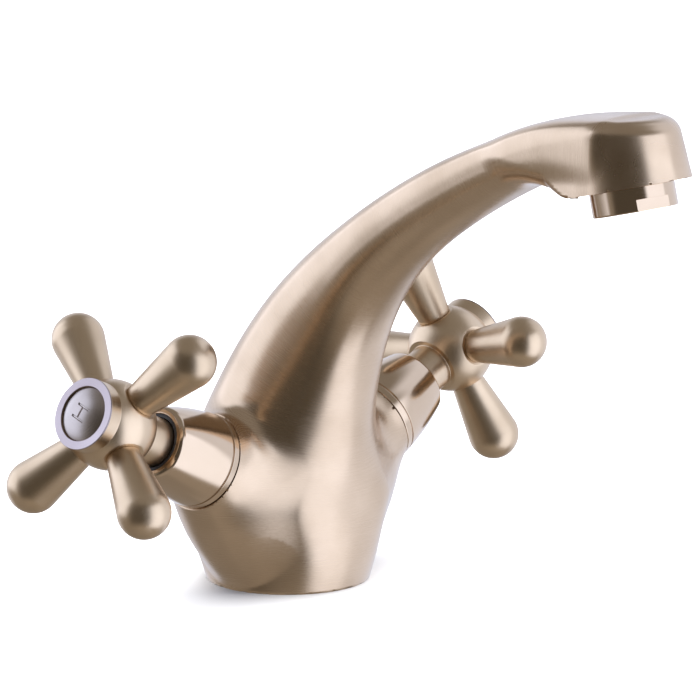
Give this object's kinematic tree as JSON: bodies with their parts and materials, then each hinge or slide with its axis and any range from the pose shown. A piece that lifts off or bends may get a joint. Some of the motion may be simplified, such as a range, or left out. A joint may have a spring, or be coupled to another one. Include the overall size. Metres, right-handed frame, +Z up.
{
  "type": "basin mixer tap",
  "caption": "Deck-mounted basin mixer tap with an arched cast spout, a cross handle on each inclined side valve and a screw-in aerator.",
  "frame": {"origin": "centre of the base's bottom face, where the tap stands on the basin", "axes": "+Z up, -Y along the spout towards the user's basin, hot valve at -X and cold valve at +X"},
  "size_m": [0.1917, 0.1876, 0.1555],
  "materials": {
    "bronze_plate": "brushed champagne bronze plating",
    "machined_steel": "satin, machined",
    "raw_brass": "turned, unplated",
    "white_ceramic": "lapped",
    "black_rubber": "matt",
    "grey_plastic": "moulded"
  },
  "bodies": {
    "root": {"body_casting": "bronze_plate", "base_gasket": "black_rubber", "aerator_housing": "bronze_plate", "aerator_insert": "grey_plastic", "aerator_screen": "machined_steel", "aerator_washer": "black_rubber", "hot_bonnet": "bronze_plate", "hot_bonnet_gasket": "black_rubber", "hot_guide_ring": "black_rubber", "hot_valve_housing": "raw_brass", "hot_seat_seal": "black_rubber", "hot_fixed_disc": "white_ceramic", "hot_spindle_washer": "raw_brass", "cold_bonnet": "bronze_plate", "cold_bonnet_gasket": "black_rubber", "cold_guide_ring": "black_rubber", "cold_valve_housing": "raw_brass", "cold_seat_seal": "black_rubber", "cold_fixed_disc": "white_ceramic", "cold_spindle_washer": "raw_brass"},
    "hot_handle": {"hot_spindle": "raw_brass", "hot_spindle_orings": "black_rubber", "hot_circlip": "machined_steel", "hot_moving_disc": "white_ceramic", "hot_handle_hub": "bronze_plate", "hot_arm_1": "bronze_plate", "hot_arm_2": "bronze_plate", "hot_arm_3": "bronze_plate", "hot_arm_4": "bronze_plate", "hot_index_ring": "machined_steel", "hot_index_button": "bronze_plate", "hot_handle_screw": "machined_steel", "hot_screw_washer": "machined_steel"},
    "cold_handle": {"cold_spindle": "raw_brass", "cold_spindle_orings": "black_rubber", "cold_circlip": "machined_steel", "cold_moving_disc": "white_ceramic", "cold_handle_hub": "bronze_plate", "cold_arm_1": "bronze_plate", "cold_arm_2": "bronze_plate", "cold_arm_3": "bronze_plate", "cold_arm_4": "bronze_plate", "cold_index_ring": "machined_steel", "cold_index_button": "bronze_plate", "cold_handle_screw": "machined_steel", "cold_screw_washer": "machined_steel"}
  },
  "joints": [
    {"name": "hot_handle_turn", "type": "hinge", "parent": "root", "child": "hot_handle", "pos_m": [0, 0, 0.02485], "axis": [-0.9121, 0, 0.4099], "range_deg": [0, 90]},
    {"name": "cold_handle_turn", "type": "hinge", "parent": "root", "child": "cold_handle", "pos_m": [0, 0, 0.02485], "axis": [0.9121, 0, 0.4099], "range_deg": [0, 90]}
  ]
}
